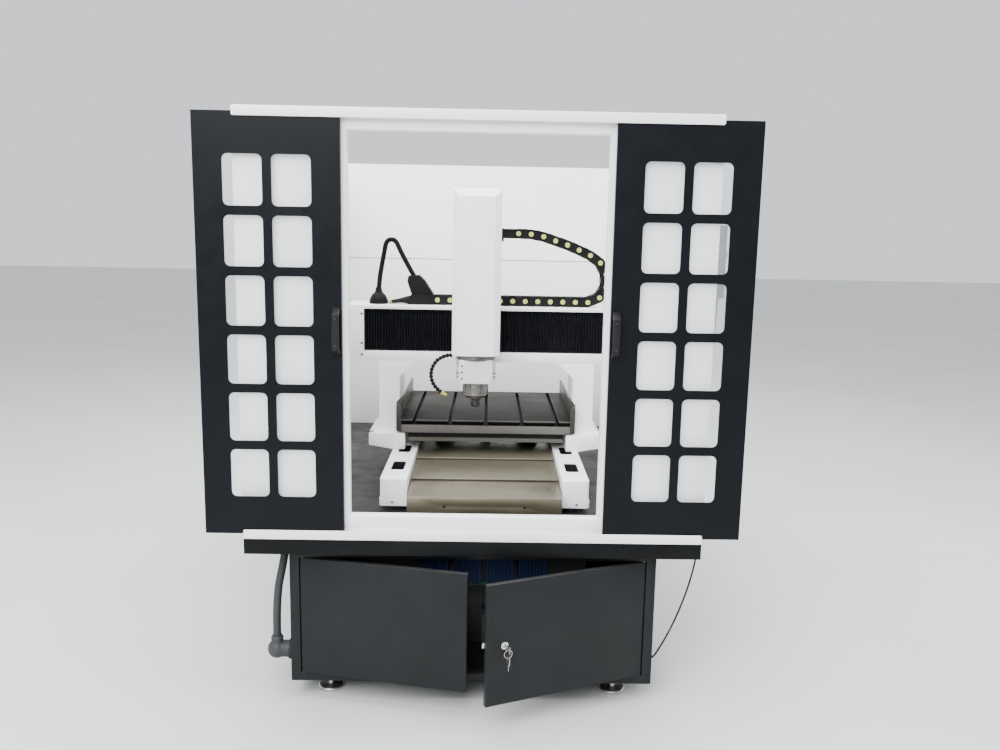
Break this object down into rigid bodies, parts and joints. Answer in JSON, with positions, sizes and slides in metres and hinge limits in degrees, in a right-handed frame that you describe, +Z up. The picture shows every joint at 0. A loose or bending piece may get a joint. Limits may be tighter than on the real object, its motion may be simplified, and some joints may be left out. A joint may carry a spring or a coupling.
{
  "type": "mini cnc milling machine",
  "caption": "Enclosed bench milling machine: moving tee-slot table, gantry with a travelling spindle head, sliding windowed doors and a cabinet with hinged doors below.",
  "frame": {"origin": "on the floor, midway between the left and right door edges and between the foremost key and the rear wall", "axes": "+X to the right seen from the doors, +Y towards the back, +Z up"},
  "size_m": [1.688, 1.9196, 1.892],
  "materials": {
    "cabinet_paint": "satin powder coat, dark grey",
    "tray_paint": "satin powder coat, dark slate grey",
    "white_paint": "semi gloss powder coat, white",
    "casting_paint": "smooth sprayed enamel on a casting, white",
    "head_paint": "smooth sprayed enamel, white",
    "black_paint": "satin powder coat, near black",
    "black_plastic": "moulded, fine grain",
    "zinc_steel": "zinc plated",
    "bright_chrome": "polished, lightly marked",
    "drive_plastic": "moulded housings, dark blue",
    "clear_pane": "clear sheet",
    "pad_rubber": "black rubber",
    "rail_steel": "ground steel",
    "motor_black": "black, satin",
    "cover_steel": "bare sheet with an oil film",
    "bellows_black": "coated black cloth",
    "table_iron": "ground cast iron with an oil film",
    "guard_steel": "thin bare sheet",
    "carriage_aluminium": "machined",
    "spindle_steel": "turned steel",
    "nut_steel": "dark turned steel",
    "hose_plastic": "black segments with a yellow nozzle",
    "chain_plastic": "black links with pale yellow pins",
    "gland_plastic": "moulded black",
    "conduit_plastic": "ribbed black",
    "waste_plastic": "dark moulded plastic",
    "handset_plastic": "light grey moulding",
    "lead_rubber": "black jacket"
  },
  "bodies": {
    "base": {"cabinet_shell": "cabinet_paint", "levelling_feet": "zinc_steel", "control_boxes": "drive_plastic", "cabinet_hinge_pins": "zinc_steel", "base_tray": "tray_paint", "front_frame": "white_paint", "top_rail": "white_paint", "bottom_rail": "white_paint", "left_side_panel": "white_paint", "right_side_panel": "white_paint", "rear_panel": "white_paint", "machine_bed": "casting_paint", "bed_pads": "pad_rubber", "linear_rails": "rail_steel", "axis_motors": "motor_black", "cover_fixed": "cover_steel", "rear_cover": "bellows_black", "column_left": "casting_paint", "column_right": "casting_paint", "gantry_beam": "casting_paint", "beam_end_blocks": "casting_paint", "bellows_left": "bellows_black", "bellows_right": "bellows_black", "drag_chain": "chain_plastic", "cable_dome": "gland_plastic", "cable_hood": "gland_plastic", "conduit": "conduit_plastic", "waste_hose": "waste_plastic", "hose_elbow": "waste_plastic", "handset": "handset_plastic", "handset_lead": "lead_rubber"},
    "left_sliding_door": {"left_door": "black_paint", "left_door_pane": "clear_pane", "left_door_handle": "black_plastic"},
    "right_sliding_door": {"right_door": "black_paint", "right_door_pane": "clear_pane", "right_door_handle": "black_plastic"},
    "left_cabinet_door": {"cabinet_door_left": "cabinet_paint"},
    "right_cabinet_door": {"cabinet_door_right": "cabinet_paint", "lock_housing": "bright_chrome"},
    "lock": {"lock_plug": "bright_chrome", "door_keys": "zinc_steel"},
    "table_slide": {"table": "table_iron", "table_guards": "guard_steel", "y_carriages": "rail_steel"},
    "middle_cover": {"cover_middle": "cover_steel"},
    "top_cover": {"cover_top": "cover_steel"},
    "table_screw": {"y_screw": "rail_steel"},
    "head": {"head_plate": "casting_paint", "head_cover": "head_paint", "x_carriages": "rail_steel", "z_rails": "rail_steel", "z_motor": "motor_black", "coolant_hose": "hose_plastic"},
    "head_screw": {"x_screw": "rail_steel"},
    "lift_screw": {"z_screw": "rail_steel"},
    "spindle_slide": {"spindle_carriage": "carriage_aluminium", "spindle_body": "spindle_steel"},
    "spindle_rotor": {"spindle_shaft": "rail_steel", "collet_nut": "nut_steel"}
  },
  "joints": [
    {"name": "left_door_slide", "type": "slide", "parent": "base", "child": "left_sliding_door", "axis": [1, 0, 0], "range_m": [0, 0.4085]},
    {"name": "right_door_slide", "type": "slide", "parent": "base", "child": "right_sliding_door", "axis": [-1, 0, 0], "range_m": [0, 0.4085]},
    {"name": "left_cabinet_swing", "type": "hinge", "parent": "base", "child": "left_cabinet_door", "pos_m": [-0.554, -0.72424, 0.092], "axis": [0, 0, -1], "range_deg": [-12.7, 79.3]},
    {"name": "right_cabinet_swing", "type": "hinge", "parent": "base", "child": "right_cabinet_door", "pos_m": [0.554, -0.72424, 0.092], "axis": [0, 0, 1], "range_deg": [-22.3, 69.7]},
    {"name": "lock_turn", "type": "hinge", "parent": "right_cabinet_door", "child": "lock", "pos_m": [0.09787, -0.91131, 0.289], "axis": [0.3795, -0.9252, 0], "range_deg": [0, 90]},
    {"name": "table_travel", "type": "slide", "parent": "base", "child": "table_slide", "axis": [0, -1, 0], "range_m": [0, 0.52], "deforming": ["rear_cover"]},
    {"name": "middle_cover_travel", "type": "slide", "parent": "base", "child": "middle_cover", "axis": [0, -1, 0], "range_m": [0, 0.194]},
    {"name": "top_cover_travel", "type": "slide", "parent": "base", "child": "top_cover", "axis": [0, -1, 0], "range_m": [0, 0.438]},
    {"name": "table_screw_spin", "type": "hinge", "parent": "base", "child": "table_screw", "pos_m": [0.033, -0.50524, 0.626], "axis": [0, -1, 0], "continuous": true},
    {"name": "head_travel", "type": "slide", "parent": "base", "child": "head", "axis": [1, 0, 0], "range_m": [-0.249, 0.331], "deforming": ["bellows_left", "bellows_right", "drag_chain"]},
    {"name": "head_screw_spin", "type": "hinge", "parent": "base", "child": "head_screw", "pos_m": [0.033, 0.03476, 1.156], "axis": [1, 0, 0], "continuous": true},
    {"name": "spindle_lift", "type": "slide", "parent": "head", "child": "spindle_slide", "axis": [0, 0, 1], "range_m": [-0.045, 0.155]},
    {"name": "lift_screw_spin", "type": "hinge", "parent": "head", "child": "lift_screw", "pos_m": [-0.008, -0.10524, 1.09], "axis": [0, 0, 1], "continuous": true},
    {"name": "spindle_spin", "type": "hinge", "parent": "spindle_slide", "child": "spindle_rotor", "pos_m": [-0.008, -0.19324, 0.89], "axis": [0, 0, 1], "continuous": true}
  ],
  "couplings": [
    {"joint": "middle_cover_travel", "follows": "table_travel", "ratio": 0.37115},
    {"joint": "top_cover_travel", "follows": "table_travel", "ratio": 0.84039},
    {"joint": "table_screw_spin", "follows": "table_travel", "rad_per_m": -628.32},
    {"joint": "head_screw_spin", "follows": "head_travel", "rad_per_m": -628.32},
    {"joint": "lift_screw_spin", "follows": "spindle_lift", "rad_per_m": -628.32}
  ]
}
